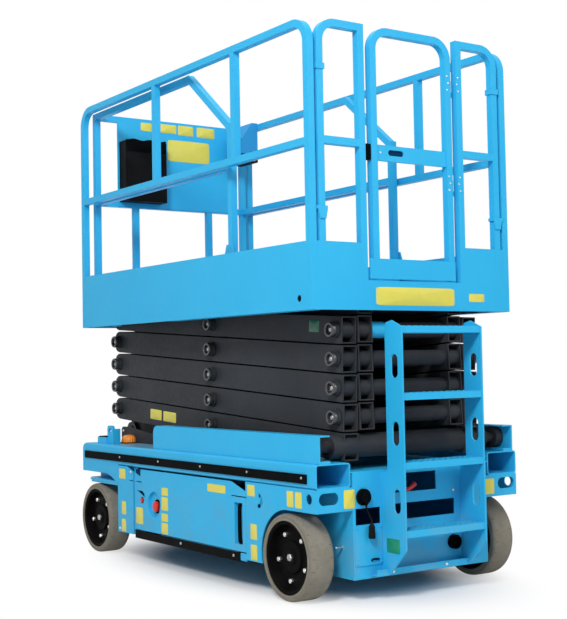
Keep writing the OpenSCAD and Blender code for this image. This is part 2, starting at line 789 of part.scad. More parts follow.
// platform floor, skirts, toe boards, and the channels and lugs that take the top arms
module platform() color(blue) at_mid() {
  under = [skirt_low, floor_z - floor_t];
  toe = [floor_z, toe_top];
  slab([-rail_half, rail_half], [-skirt_out, skirt_out], [floor_z - floor_t, floor_z]);
  slab([-rail_half, -rail_half + skirt_t], [-skirt_out, skirt_out], under);
  slab([rail_half - skirt_t, rail_half], [-skirt_out, skirt_out], under);
  both() {
    difference() {
      slab([-rail_half, rail_half], [skirt_in, skirt_out], under);
      bar_y(-rail_half + 91, skirt_low + 51, 30, [skirt_in - 1, skirt_out + 1]);
    }
    slab([-rail_half + rail_s, rail_half - rail_s], [skirt_in, skirt_out], toe);
    for (y = [[jamb_y + rail_s / 2, corner_y - rail_s / 2], [corner_y + rail_s / 2, skirt_out - rail_s]])
      slab([-rail_half, -rail_half + skirt_t], y, toe);
    slab(channel_x, [channel_out, skirt_in + 1],
      [row_top - channel_d / 2 - channel_t, row_top + channel_d / 2 + channel_t]);
    for (z = [row_top - channel_d / 2 - channel_t, row_top + channel_d / 2])
      slab(channel_x, [channel_out - channel_w, channel_out], [z, z + channel_t]);
    difference() {
      slab([pin_reach - 50, pin_reach + 50], [outer_out + lug_gap, outer_out + lug_gap + lug_t],
        [row_top - 38, floor_z - floor_t]);
      bar_y(pin_reach, row_top, pin_d + 2 * run, [outer_out, outer_out + 30]);
    }
  }
  for (y = [-120, 0, 120])
    slab([-rail_half, rail_half], [y - 3, y + 3], [floor_z - 34, floor_z - floor_t]);
}

// quarter bends of square tube: in X and Z from -X round to +Z, in Y and Z from +Y round to +Z
module bend_xz(r, s) rotate([90, 0, 0]) rotate([0, 0, 90]) rotate_extrude(angle = 90)
  translate([r, 0]) square(s, center = true);
module bend_yz(r, s) rotate([90, 0, 90]) rotate_extrude(angle = 90)
  translate([r, 0]) square(s, center = true);

// side guard rail with short posts over its middle rail; inset g draws the tube's hollow
module side_frame(g, posts) {
  s = rail_s - 2 * g;
  bend = rail_bend - rail_s / 2;
  yy = [post_y - s / 2, post_y + s / 2];
  for (m = [0, 1]) mirror([m, 0, 0]) {
    slab([-rail_half + g, -rail_half + rail_s - g], yy, [floor_z, rail_top - rail_bend]);
    translate([-rail_half + rail_bend, post_y, rail_top - rail_bend]) bend_xz(bend, s);
  }
  slab([-rail_half + rail_bend, rail_half - rail_bend], yy, [rail_top - rail_s + g, rail_top - g]);
  slab([-rail_half + rail_s / 2, rail_half - rail_s / 2], yy, [mid_top - rail_s + g, mid_top - g]);
  for (x = posts) slab([x - s / 2, x + s / 2], yy, [mid_top - rail_s / 2, rail_top - rail_s / 2]);
}

module side_rail(posts) difference() {
  side_frame(0, posts);
  side_frame(rail_wall, posts);
}

module side_rails() color(blue) at_mid() {
  side_rail(left_posts);
  mirror([0, 1, 0]) side_rail(right_posts);
}

// inverted-U frame beside the gate
module jamb_frame(g) {
  s = rail_s - 2 * g;
  xx = [-rail_half + g, -rail_half + rail_s - g];
  slab(xx, [jamb_y - s / 2, jamb_y + s / 2], [floor_z, rail_top - g]);
  slab(xx, [corner_y - s / 2, corner_y + s / 2], [floor_z, rail_top - frame_bend]);
  slab(xx, [jamb_y, corner_y + rail_s / 2 - frame_bend], [rail_top - rail_s + g, rail_top - g]);
  slab(xx, [jamb_y, corner_y], [mid_top - rail_s + g + 10, mid_top - g + 10]);
  translate([-rail_half + rail_s / 2, corner_y + rail_s / 2 - frame_bend, rail_top - frame_bend])
    bend_yz(frame_bend - rail_s / 2, s);
}

// collar and pin bracket on the outer leg of a frame
module frame_collar() {
  y = [corner_y - rail_s / 2, corner_y + rail_s / 2];
  slab([-rail_half - 5, -rail_half + rail_s + 5], [y[0] - 5, y[1] + 5], [rail_top - 228, rail_top - 202]);
  slab([-rail_half - 6, -rail_half + rail_s], [y[0] - 8, skirt_out - rail_s - gap],
    [mid_top - 310, mid_top - 295]);
  along_x([-rail_half - 6, -rail_half])
    polygon([[y[0] - 8, mid_top - 309], [y[1] + 8, mid_top - 309], [y[1], mid_top - 350], [y[0], mid_top - 350]]);
}

// lower half of a gate hinge, with its pin
module hinge_seat(z) {
  bar_z(hinge_x, hinge_y, hinge_d, [z - hinge_seat_h, z - gap]);
  bar_z(hinge_x, hinge_y, hinge_pin_d, [z - hinge_seat_h, z + hinge_h]);
  slab([hinge_x - 3, hinge_x + 3], [-jamb_y + rail_s / 2, hinge_y], [z - hinge_seat_h, z - gap]);
}

module rear_frames() color(blue) at_mid() {
  both() difference() {
    union() {
      jamb_frame(0);
      frame_collar();
    }
    jamb_frame(rail_wall);
  }
  for (z = hinge_z) hinge_seat(z);
}

// gate leaf
module gate_frame(g) {
  s = rail_s - 2 * g;
  xx = [-rail_half + g, -rail_half + rail_s - g];
  both() {
    slab(xx, [gate_half - rail_s + g, gate_half - g], [gate_low, rail_top - gate_bend]);
    translate([-rail_half + rail_s / 2, gate_half - gate_bend, rail_top - gate_bend])
      bend_yz(gate_bend - rail_s / 2, s);
  }
  slab(xx, [-gate_half + gate_bend, gate_half - gate_bend], [rail_top - rail_s + g, rail_top - g]);
}

module gate() color(blue) at_mid() {
  difference() {
    gate_frame(0);
    gate_frame(rail_wall);
  }
  difference() {
    slab([-rail_half + 6, -rail_half + 20], [-gate_half + rail_s, gate_half - rail_s],
      [mid_top - latch_h - 4, mid_top - 4]);
    along_x([-rail_half, -rail_half + 21]) slot_lying(gate_half - rail_s - 110, mid_top - 36, 90, 26);
  }
  slab([-rail_half - skirt_t, -rail_half], [-gate_half, gate_half + kick_lap], [gate_low, gate_low + kick_h]);
  for (z = hinge_z) difference() {
    union() {
      bar_z(hinge_x, hinge_y, hinge_d, [z, z + hinge_h]);
      slab([hinge_x - 3, hinge_x + 3], [hinge_y, -gate_half], [z, z + hinge_h]);
    }
    bar_z(hinge_x, hinge_y, hinge_pin_d + 2 * run, [z - 1, z + hinge_h + 1]);
  }
}

// rails of the roll-out extension
module ext_frame(g) {
  s = rail_s - 2 * g;
  xf = ext_front - rail_s / 2;
  xr = ext_rear + rail_s / 2;
  deck = ext_z + ext_deck_t;
  both() {
    yy = [ext_y - s / 2, ext_y + s / 2];
    slab([xf - s / 2, xf + s / 2], yy, [deck, ext_top]);
    slab([xr - s / 2, xr + s / 2], yy, [deck, ext_top - ext_drop]);
    slab([ext_brace_x, xf], yy, [ext_top - rail_s + g, ext_top - g]);
    slab([xr, xf], yy, [mid_top - rail_s + g, mid_top - g]);
    slab([xf - s / 2, xf + s / 2], [ext_leg_y - s / 2, ext_leg_y + s / 2], [deck, mid_top - rail_s / 2]);
  }
  for (z = [ext_top, mid_top])
    slab([xf - s / 2, xf + s / 2], [-ext_y, ext_y], [z - rail_s + g, z - g]);
}

// sloping tube from the top rail down to the rear post, and that post's foot plate
module ext_brace() {
  run_x = ext_brace_x - ext_rear - rail_s / 2;
  l = sqrt(run_x * run_x + ext_drop * ext_drop);
  translate([ext_brace_x, ext_y - rail_s / 2, ext_top - rail_s / 2])
    rotate([0, 180 - atan2(ext_drop, run_x), 0])
    translate([-10, 0, -rail_s / 2]) cube([l + 4, rail_s, rail_s]);
  along_y([ext_side, ext_side + 6])
    polygon([[ext_rear - 26, toe_top + 3], [ext_rear + 60, toe_top + 3],
      [ext_rear + 42, toe_top + 52], [ext_rear - 8, toe_top + 52]]);
}

module extension() color(blue) at_mid() {
  slab([ext_rear, ext_front], [-ext_side, ext_side], [ext_z, ext_z + ext_deck_t]);
  both() {
    slab([ext_rear, ext_rear + 620], [ext_y - 47, ext_y - 17], [floor_z + gap, ext_z]);
    slab([ext_rear, ext_front], [ext_side, ext_side + 3], [ext_z, ext_z + ext_toe_h]);
    ext_brace();
  }
  slab([ext_front, ext_front + 3], [-ext_side, ext_side], [ext_z, ext_z + ext_toe_h]);
  difference() {
    ext_frame(0);
    ext_frame(rail_wall);
  }
  slab([ext_front - rail_s - 3, ext_front - rail_s], panel_y, [mid_top - 30, ext_top - 4]);
}

// document box on the front panel, and the control console on the right-hand rail
module controls() color(black) at_mid() {
  slab([ext_front - rail_s - 3 - box_depth, ext_front - rail_s - 3], box_y, [mid_top - 4, mid_top + 350]);
  translate([0, -ext_side + rail_s, ext_top]) along_x(console_x)
    polygon([[0, -235], [110, -235], [110, -90], [40, 6], [0, 6]]);
}

chassis();
slide_rails();
ladder();
rub_strips();
beacon();
inlet();
inlet_lead();
inlet_plug();
tyre_fl();
tyre_fr();
tyre_rl();
tyre_rr();
rim_fl();
rim_fr();
rim_rl();
rim_rr();
knuckle_l();
knuckle_r();
track_rod();
tray_l();
tray_r();
battery_pack();
hydraulic_pack();
guard_l();
guard_r();
inner_1();
inner_2();
inner_3();
inner_4();
inner_5();
outer_1();
outer_2();
outer_3();
outer_4();
outer_5();
barrel_1();
barrel_2();
rod_1();
rod_2();
platform();
side_rails();
rear_frames();
gate();
extension();
controls();
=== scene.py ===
"""Scissor lift: camera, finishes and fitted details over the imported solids.

Places are written in millimetres about the middle of the wheelbase: x forward, y to the
left, z up from the ground.  MID moves them into the frame's own x.
"""
import json
import math

import bmesh
import bpy
import numpy as np
from mathutils import Matrix, Vector


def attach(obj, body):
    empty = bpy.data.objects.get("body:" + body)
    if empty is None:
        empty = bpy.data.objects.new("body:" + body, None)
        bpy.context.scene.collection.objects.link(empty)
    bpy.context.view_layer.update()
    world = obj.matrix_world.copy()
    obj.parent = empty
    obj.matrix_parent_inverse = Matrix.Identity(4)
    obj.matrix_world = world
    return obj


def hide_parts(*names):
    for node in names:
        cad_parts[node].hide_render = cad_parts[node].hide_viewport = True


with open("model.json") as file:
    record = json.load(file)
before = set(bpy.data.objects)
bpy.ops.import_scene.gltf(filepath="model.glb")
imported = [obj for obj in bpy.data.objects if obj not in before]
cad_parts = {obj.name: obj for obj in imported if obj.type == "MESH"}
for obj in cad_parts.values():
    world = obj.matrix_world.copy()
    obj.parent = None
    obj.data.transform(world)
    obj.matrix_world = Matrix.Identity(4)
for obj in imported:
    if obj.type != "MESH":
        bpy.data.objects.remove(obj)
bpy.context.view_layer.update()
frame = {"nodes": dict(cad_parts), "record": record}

MID = 75.75
MM_PER_M = 1000
SIDES = (("l", 1), ("r", -1))
LEFT, UP, REARWARD, FORWARD = (0, 1, 0), (0, 0, 1), (-1, 0, 0), (1, 0, 0)


# Camera

PHOTO_PIXELS = (567, 619)
FOCAL_PIXELS = 1220.1
YAW, PITCH, ROLL = map(math.radians, (-34.308, 2.584, -1.048))
EYE = (-5327.0, 3586.0, 1027.8)
SENSOR_MM = 36


def set_camera():
    """Camera turned by yaw, pitch and roll: its axes are the right, up and backward
    directions of the view, and its lens comes from the focal length in pixels."""
    ahead = Vector((math.cos(PITCH) * math.cos(YAW), math.cos(PITCH) * math.sin(YAW),
                    math.sin(PITCH)))
    right = ahead.cross(Vector(UP)).normalized()
    up = right.cross(ahead)
    across = right * math.cos(ROLL) + up * math.sin(ROLL)
    above = up * math.cos(ROLL) - right * math.sin(ROLL)
    eye = bpy.data.cameras.new("view_camera")
    eye.sensor_width = SENSOR_MM
    eye.sensor_fit = "AUTO"
    eye.lens = FOCAL_PIXELS / max(PHOTO_PIXELS) * SENSOR_MM
    eye.clip_end = 200
    stand = bpy.data.objects.new("view_camera", eye)
    turn = Matrix((across, above, -ahead)).transposed().to_4x4()
    turn.translation = Vector((EYE[0] + MID, EYE[1], EYE[2])) / MM_PER_M
    stand.matrix_world = turn
    bpy.context.scene.collection.objects.link(stand)
    bpy.context.scene.camera = stand


set_camera()
bpy.context.scene.view_settings.view_transform = "Standard"


# Finishes

class Wire:
    """One socket of a finish's node tree; operators on it add Math nodes."""

    def __init__(self, tree, socket=None):
        self.tree = tree
        self.socket = socket

    def node(self, kind, settings, sockets, out=0):
        """Add a node: its settings first, then its sockets' values or links."""
        made = self.tree.nodes.new(kind)
        for key, value in settings.items():
            setattr(made, key, value)
        for key, value in sockets.items():
            if isinstance(value, Wire):
                self.tree.links.new(value.socket, made.inputs[key])
            else:
                made.inputs[key].default_value = value
        return Wire(self.tree, made.outputs[out] if made.outputs else None)

    def maths(self, operation, first, second):
        return self.node("ShaderNodeMath", {"operation": operation}, {0: first, 1: second})

    def __add__(self, other):
        return self.maths("ADD", self, other)

    def __radd__(self, other):
        return self.maths("ADD", other, self)

    def __sub__(self, other):
        return self.maths("SUBTRACT", self, other)

    def __rsub__(self, other):
        return self.maths("SUBTRACT", other, self)

    def __mul__(self, other):
        return self.maths("MULTIPLY", self, other)

    def __rmul__(self, other):
        return self.maths("MULTIPLY", other, self)

    def band(self, low, high):
        """0 below low, 1 above high, smooth between."""
        return self.node("ShaderNodeMapRange", {"interpolation_type": "SMOOTHSTEP"},
                         {"Value": self, "From Min": low, "From Max": high})

    def noise(self, scale, detail=3.0, place=None):
        """Cloud value about 0.5 over the piece's own coordinates."""
        place = place or self.place()
        return self.node("ShaderNodeTexNoise", {},
                         {"Vector": place, "Scale": scale, "Detail": detail, "Roughness": 0.55})

    def place(self):
        return self.node("ShaderNodeTexCoord", {}, {}, "Object")

    def along(self, axis):
        """Place along one axis of the frame in metres: 0 forward, 1 to the left, 2 up."""
        return self.node("ShaderNodeSeparateXYZ", {}, {0: self.place()}, axis)

    def within(self, axis, low, high):
        """1 between two places along an axis, 0 outside them."""
        spot = self.along(axis)
        return self.maths("GREATER_THAN", spot, low) * self.maths("LESS_THAN", spot, high)

    def blend(self, share, first, second):
        """Colour that goes from first to second with share.  A Mix node has sockets for each
        kind of data: 0 is the share, 6 and 7 are the colours, and output 2 is the colour."""
        return self.node("ShaderNodeMix", {"data_type": "RGBA"},
                         {0: share, 6: first, 7: second}, 2)

    def seen_straight(self):
        """1 for rays from the camera, and for those that a gloss or a clear piece sends on."""
        rays = [self.node("ShaderNodeLightPath", {}, {}, "Is %s Ray" % kind)
                for kind in ("Camera", "Glossy", "Transmission")]
        return self.maths("MINIMUM", rays[0] + rays[1] + rays[2], 1.0)

    def rounded(self, radius):
        """Normal that runs round the edges."""
        return self.node("ShaderNodeBevel", {"samples": 6}, {"Radius": radius})

    def edges(self, radius):
        """1 on the edges and 0 on the flats: how far the rounded normal leaves the plain one."""
        plain = self.node("ShaderNodeNewGeometry", {}, {}, "Normal")
        same = self.node("ShaderNodeVectorMath", {"operation": "DOT_PRODUCT"},
                         {0: self.rounded(radius), 1: plain}, "Value")
        return (1 - same).band(0.02, 0.16)

    def bump(self, height, strength, distance, normal=None):
        sockets = {"Height": height, "Strength": strength, "Distance": distance}
        if normal:
            sockets["Normal"] = normal
        return self.node("ShaderNodeBump", {}, sockets)


def rgb(red, green, blue):
    return (red, green, blue, 1.0)


def bench(name):
    """Empty node tree for a new finish."""
    material = bpy.data.materials.new(name)
    material.use_nodes = True
    material.node_tree.nodes.clear()
    return Wire(material.node_tree)


def finish(name, colour, rough, normal=None, **fixed):
    """Principled finish from a colour, a roughness and a normal, with its fixed values."""
    sockets = {"Base Color": colour, "Roughness": rough}
    if normal:
        sockets["Normal"] = normal
    sockets.update({key.replace("_", " "): value for key, value in fixed.items()})
    shader = colour.node("ShaderNodeBsdfPrincipled", {}, sockets)
    colour.node("ShaderNodeOutputMaterial", {}, {"Surface": shader})
    return bpy.data.materials[name]


def enamel(name, fresh, faded, worn, dust, rough, radius=0.0022, shine=0.18, low_dust=0.35,
           marks=None):
    """Sprayed enamel: two close tones in soft clouds, thinner along the edges, road dust
    towards the ground, orange-peel skin, and fine rubbed streaks in the gloss.  Marks are
    pairs of a mask and a tone for places that are painted or worn otherwise."""
    w = bench(name)
    cloud = w.noise(2.3, 4.0)
    fine = w.noise(38.0, 5.0)
    edge = w.edges(radius) * fine.band(0.42, 0.62)
    grime = (1 - w.along(2).band(0.05, low_dust + 0.3)) * w.noise(7.0, 6.0).band(0.40, 0.72)
    colour = w.blend(cloud.band(0.3, 0.7), fresh, faded)
    for mask, tone in (marks(w) if marks else ()):
        colour = w.blend(mask, colour, tone)
    colour = w.blend(edge * 0.45, colour, worn)
    colour = w.blend(grime * 0.4, colour, dust)
    gloss = rough + 0.12 * fine.band(0.35, 0.7) + 0.25 * grime
    skin = w.bump(w.noise(420.0, 1.0), 0.06, 0.0006, w.rounded(radius))
    return finish(name, colour, gloss, skin, Specular_IOR_Level=shine)


def moulded(name, tone, scuff, rough, grain=900.0, depth=0.12, shine=0.03, marks=None):
    """Moulded plastic or rubber: even tone with pale scuffs and a fine grained skin."""
    w = bench(name)
    cloud = w.noise(9.0, 5.0)
    rub = w.noise(55.0, 6.0).band(0.58, 0.75) * cloud.band(0.45, 0.65)
    colour = w.blend(cloud.band(0.3, 0.75) * 0.5 + rub * 0.5, tone, scuff)
    for mask, paint in (marks(w) if marks else ()):
        colour = w.blend(mask, colour, paint)
    skin = w.bump(w.noise(grain, 2.0), depth, 0.0005, w.rounded(0.0012))
    return finish(name, colour, rough + 0.15 * rub, skin, Specular_IOR_Level=shine)


def metal(name, tone, stain, rough, lines=(40.0, 40.0, 900.0)):
    """Bare or plated metal: drawn lines in the gloss and a faint stain in the tone."""
    w = bench(name)
    stretched = w.node("ShaderNodeVectorMath", {"operation": "MULTIPLY"}, {0: w.place(), 1: lines})
    drawn = w.noise(1.0, 2.0, stretched)
    colour = w.blend(w.noise(60.0, 4.0).band(0.45, 0.75) * 0.5, tone, stain)
    skin = w.bump(drawn, 0.05, 0.0003, w.rounded(0.0008))
    return finish(name, colour, rough + 0.16 * drawn, skin, Metallic=1.0)


def printed_plate(name, tone, faded):
    """Blank enamelled sheet: satin, faded in patches, with small brown specks."""
    w = bench(name)
    patch = w.noise(24.0, 4.0)
    colour = w.blend(patch.band(0.35, 0.8) * 0.6, tone, faded)
    specks = w.noise(160.0, 4.0).band(0.66, 0.76) * 0.3
    colour = w.blend(specks, colour, rgb(0.30, 0.27, 0.18))
    return finish(name, colour, 0.32 + 0.2 * patch.band(0.4, 0.7))


def glowing_lens(name, tone, deep):
    """Tinted lens: cloudy tone, clear gloss and a faint waved skin; its ribs are in its shape."""
    w = bench(name)
    depth = w.noise(30.0, 2.0)
    colour = w.blend(depth.band(0.3, 0.7), tone, deep)
    skin = w.bump(w.noise(240.0, 1.0), 0.05, 0.0004)
    return finish(name, colour, 0.12 + 0.08 * depth, skin, Transmission_Weight=0.25, IOR=1.49)


TREAD_LINES, WALL_RINGS = 22, 26


def tyre_compound(name):
    """Grey solid tyre: moulded cross lines on the tread, dust ground into it, rings on the wall.
    The piece's map runs round the tyre in U and from bead to bead in V."""
    w = bench(name)
    mapped = w.node("ShaderNodeTexCoord", {}, {}, "UV")
    around, across = (w.node("ShaderNodeSeparateXYZ", {}, {0: mapped}, axis) for axis in (0, 1))
    tread = across.band(0.30, 0.34) * (1 - across.band(0.66, 0.70))
    middle = across.band(0.36, 0.46) * (1 - across.band(0.54, 0.64))
    round_wave = w.maths("SINE", around * (2 * math.pi * TREAD_LINES), 0)
    wall_wave = w.maths("SINE", across * (2 * math.pi * WALL_RINGS), 0)
    lines = round_wave.band(0.955, 0.985) * tread * (1 - middle)
    rings = wall_wave.band(0.75, 0.95) * (1 - tread)
    soil = w.noise(14.0, 6.0)
    ground_in = w.noise(70.0, 5.0).band(0.45, 0.7)
    colour = w.blend(soil.band(0.3, 0.75), rgb(0.208, 0.190, 0.150), rgb(0.254, 0.233, 0.190))
    colour = w.blend(ground_in * 0.3, colour, rgb(0.16, 0.145, 0.125))
    # The moulded lines and wall rings are also drawn darker in colour: painted shade in their
    # grooves.
    colour = w.blend((lines + rings) * 0.7, colour, rgb(0.075, 0.068, 0.060))
    skin = w.bump(0.3 * ground_in - lines - 0.5 * rings, 0.5, 0.0012)
    return finish(name, colour, 0.72 + 0.2 * soil, skin, Specular_IOR_Level=0.15)


def chassis_marks(w):
    """Dark pivot lugs over the deck, and a grey worn top on the sills ahead of the slide rails."""
    lugs = w.within(1, -0.36, 0.36) * w.within(2, 0.568, 0.8) * w.within(0, 0.95, 1.25)
    sill_top = w.within(2, 0.6022, 0.6045) * w.within(0, 0.37, 0.88)
    worn = sill_top * w.noise(30.0, 4.0).band(0.25, 0.6) * 0.75
    return (lugs, rgb(0.022, 0.024, 0.028)), (worn, rgb(0.20, 0.25, 0.27))


def console_paint_and_shade(w):
    """The console's housing is blue paint darkened as painted shade; its foot and the document box
    stay black.
    """
    housing = w.within(1, -0.7, 0.0) * w.within(2, 2.315, 2.7)
    return ((housing, rgb(0.036, 0.30, 0.62)),)


SKY = (rgb(0.024, 0.415, 0.735), rgb(0.030, 0.435, 0.755), rgb(0.10, 0.50, 0.82),
       rgb(0.20, 0.34, 0.42), 0.36)
BLUE = enamel("sky_blue_enamel", *SKY)
CHASSIS_BLUE = enamel("chassis_blue_enamel", *SKY, marks=chassis_marks)
CHARCOAL = enamel("charcoal_enamel", rgb(0.026, 0.029, 0.034), rgb(0.034, 0.038, 0.044),
                  rgb(0.09, 0.09, 0.09), rgb(0.060, 0.058, 0.054), 0.40,
                  radius=0.003, shine=0.1, low_dust=1.6)
PIN_PAINT = enamel("pin_enamel", rgb(0.022, 0.024, 0.028), rgb(0.030, 0.033, 0.038),
                   rgb(0.12, 0.12, 0.12), rgb(0.050, 0.048, 0.045), 0.22,
                   radius=0.002, shine=0.7, low_dust=0.1)
BLACK_STEEL = enamel("black_enamel", rgb(0.003, 0.003, 0.0033), rgb(0.005, 0.005, 0.0053),
                     rgb(0.016, 0.016, 0.016), rgb(0.012, 0.011, 0.010), 0.34,
                     radius=0.002, shine=0.015, low_dust=0.1)
# Dark blue that stands in for shade: painted shade on sheets inside the grip cuts and over the
# gate's slot.
SHADE_BLUE = enamel("shaded_blue_enamel", rgb(0.004, 0.030, 0.085), rgb(0.005, 0.036, 0.10),
              rgb(0.02, 0.10, 0.2), rgb(0.02, 0.05, 0.09), 0.6,
              radius=0.001, shine=0.02, low_dust=0.1)
GREY = enamel("grey_enamel", rgb(0.22, 0.23, 0.24), rgb(0.27, 0.28, 0.29),
              rgb(0.42, 0.42, 0.42), rgb(0.20, 0.18, 0.15), 0.4)
BLACK_PLASTIC = moulded("black_moulding", rgb(0.0022, 0.0028, 0.0032), rgb(0.006, 0.007, 0.008),
                        0.45, shine=0.012)
CONTROL_BOXES = moulded("control_box_moulding", rgb(0.0035, 0.0035, 0.004),
                        rgb(0.011, 0.011, 0.012), 0.45, marks=console_paint_and_shade)
LEAD_RUBBER = moulded("lead_rubber", rgb(0.006, 0.006, 0.006), rgb(0.02, 0.02, 0.019), 0.6,
                      grain=500.0, depth=0.2)
STOP_RED = moulded("stop_red_moulding", rgb(0.60, 0.018, 0.016), rgb(0.66, 0.05, 0.04), 0.28,
                   grain=700.0, depth=0.05, shine=0.3)
ZINC = metal("zinc_plate", rgb(0.70, 0.69, 0.66), rgb(0.50, 0.47, 0.40), 0.30)
CHROME = metal("chromed_steel", rgb(0.82, 0.83, 0.85), rgb(0.70, 0.71, 0.73), 0.10)
STEEL = metal("dull_steel", rgb(0.42, 0.41, 0.40), rgb(0.25, 0.22, 0.19), 0.42)
YELLOW = printed_plate("yellow_plate", rgb(0.70, 0.62, 0.075), rgb(0.64, 0.58, 0.11))
GREEN = printed_plate("green_plate", rgb(0.013, 0.25, 0.125), rgb(0.03, 0.29, 0.16))
# Darker copy of the green plate, for the top arm: painted shade from the platform above it.
SHADED_GREEN = printed_plate("dark_green_plate", rgb(0.006, 0.10, 0.055), rgb(0.010, 0.12, 0.070))
LENS = glowing_lens("orange_lens", rgb(0.85, 0.20, 0.012), rgb(0.60, 0.11, 0.006))
TYRE = tyre_compound("grey_tyre_compound")

FINISH_OF_SLOT = {
    "sky_blue_paint": BLUE, "black_plastic": BLACK_PLASTIC, "black_rubber": LEAD_RUBBER,
    "grey_paint": GREY, "charcoal_paint": CHARCOAL, "chromed_rod": CHROME,
    "bare_steel": STEEL, "orange_lens": LENS, "grey_tyre": TYRE, "black_paint": BLACK_STEEL,
}
SLOT_OF_FINISH = {made.name: slot for slot, made in FINISH_OF_SLOT.items()}
SLOT_OF_FINISH[ZINC.name] = "bare_steel"
SLOT_OF_FINISH[PIN_PAINT.name] = "charcoal_paint"
NODE_FINISH = {"chassis": CHASSIS_BLUE, "controls": CONTROL_BOXES}

for part in frame["record"]["subparts"]:
    shown = frame["nodes"][part["node"]].data.materials
    shown.clear()
    shown.append(NODE_FINISH.get(part["node"], FINISH_OF_SLOT[part["material_slot"]]))


# Surfaces

WELD_M = 1e-6


def put(name, grids, body, made_of, around=True, mapped=False, crease=38):
    """Piece made of grids of points (copies, rows, columns, xyz, in millimetres): neighbours
    make a quad, columns close on themselves when around, poles and seams are welded."""
    points = np.asarray(grids, float)
    points = points[None] if points.ndim == 3 else points
    copies, rows, columns = points.shape[:3]
    steps = columns if around else columns - 1
    i, j = np.meshgrid(np.arange(rows - 1), np.arange(steps), indexing="ij")
    k = (j + 1) % columns
    low, high = i * columns, (i + 1) * columns
    quad = np.stack([low + j, low + k, high + k, high + j], -1)
    faces = quad.reshape(1, -1, 4) + (np.arange(copies) * rows * columns)[:, None, None]
    mesh = bpy.data.meshes.new(name)
    mesh.from_pydata(((points + (MID, 0, 0)) / MM_PER_M).reshape(-1, 3).tolist(), [],
                     faces.reshape(-1, 4).tolist())
    if mapped:
        corner = np.stack([np.stack([j, i], -1), np.stack([j + 1, i], -1),
                           np.stack([j + 1, i + 1], -1), np.stack([j, i + 1], -1)], 2)
        chart = corner / (columns, rows - 1)
        layer = mesh.uv_layers.new(name="wrap")
        layer.data.foreach_set("uv", np.tile(chart.reshape(-1), copies))
    weld = bmesh.new()
    weld.from_mesh(mesh)
    bmesh.ops.remove_doubles(weld, verts=weld.verts, dist=WELD_M)
    bmesh.ops.recalc_face_normals(weld, faces=weld.faces)
    weld.to_mesh(mesh)
    weld.free()
    mesh.shade_smooth()
    mesh.set_sharp_from_angle(angle=math.radians(crease))
    mesh.materials.append(made_of)
    piece = bpy.data.objects.new(name, mesh)
    bpy.context.scene.collection.objects.link(piece)
    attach(piece, body)
    made_of.name in SLOT_OF_FINISH
    return piece


def full_turn(columns):
    """Angles of a whole turn in equal steps."""
    return np.linspace(0, 2 * np.pi, columns, endpoint=False)


def turned(profile, seats, axis, columns=32, flutes=0, depth=0.0):
    """Profile of (radius, height) carried round an axis at each seat: seat + radius x ring +
    height x axis; the radius is waved by depth x cos(flutes x turn)."""
    profile, axis = np.asarray(profile, float), np.asarray(axis, float)
    side = np.cross(axis, (0.0, 0.0, 1.0) if abs(axis[2]) < 0.9 else (1.0, 0.0, 0.0))
    side = side / np.linalg.norm(side)
    turn = full_turn(columns)
    ring = np.cos(turn)[:, None] * side + np.sin(turn)[:, None] * np.cross(axis, side)
    wave = 1 + depth * np.cos(flutes * turn)
    grid = (profile[:, 0, None] * wave)[..., None] * ring + profile[:, 1, None, None] * axis
    return np.asarray(seats, float).reshape(-1, 1, 1, 3) + grid


def sheets(seats, sizes, across, up, thick=1.0):
    """Thin plates with round corners: the outline is a superellipse of each seat's size, with
    cos and sin to the power 0.16, and the rows go from the middle of the back, over the edge,
    to the middle of the front."""
    across, up = np.asarray(across, float), np.asarray(up, float)
    out = np.cross(across, up)
    turn = full_turn(56)
    wave = np.stack([np.cos(turn), np.sin(turn)], -1)
    ring = np.sign(wave) * np.abs(wave) ** 0.16 / 2
    share = np.array([0, 1, 1, 0.985, 0])[None, :, None, None]
    lift = np.array([0, 0, 0.7, 1, 1])[None, :, None, None] * thick
    flat = share * ring[None, None] * np.asarray(sizes, float)[:, None, None, :]
    grid = flat[..., :1] * across + flat[..., 1:] * up + lift * out
    return np.asarray(seats, float)[:, None, None, :] + grid


def upright_sheets(boxes, y):
    """Plates on the left side from their (x, x, z, z) boxes."""
    boxes = np.asarray(boxes, float)
    middle = np.full(len(boxes), y)
    seats = np.stack([boxes[:, :2].mean(1), middle, boxes[:, 2:].mean(1)], -1)
    sizes = np.stack([boxes[:, 1] - boxes[:, 0], boxes[:, 3] - boxes[:, 2]], -1)
    return sheets(seats, sizes, REARWARD, UP)


def end_sheets(boxes, x):
    """Plates on a face that looks rearward from their (y, y, z, z) boxes."""
    boxes = np.asarray(boxes, float)
    seats = np.stack([np.full(len(boxes), x), boxes[:, :2].mean(1), boxes[:, 2:].mean(1)], -1)
    sizes = np.stack([boxes[:, 1] - boxes[:, 0], boxes[:, 3] - boxes[:, 2]], -1)
    return sheets(seats, sizes, (0, -1, 0), UP)


def carried(path, section, level):
    """Closed section (across, up) carried along a path: level x tangent gives the across
    direction; both ends close at a middle point."""
    path, section = np.asarray(path, float), np.asarray(section, float)
    along = np.gradient(path, axis=0)
    along = along / np.linalg.norm(along, axis=1)[:, None]
    side = np.cross(np.asarray(level, float), along)
    side = side / np.linalg.norm(side, axis=1)[:, None]
    lift = np.cross(along, side)
    spread = section[None, :, :1] * side[:, None] + section[None, :, 1:] * lift[:, None]
    cap = np.repeat(path[[0, -1], None], len(section), 1)
    return np.concatenate([cap[:1], path[:, None] + spread, cap[1:]])


def round_section(radius, columns=14):
    """Circle of a radius as points across and up."""
    turn = full_turn(columns)
    return np.stack([np.cos(turn), np.sin(turn)], -1) * radius


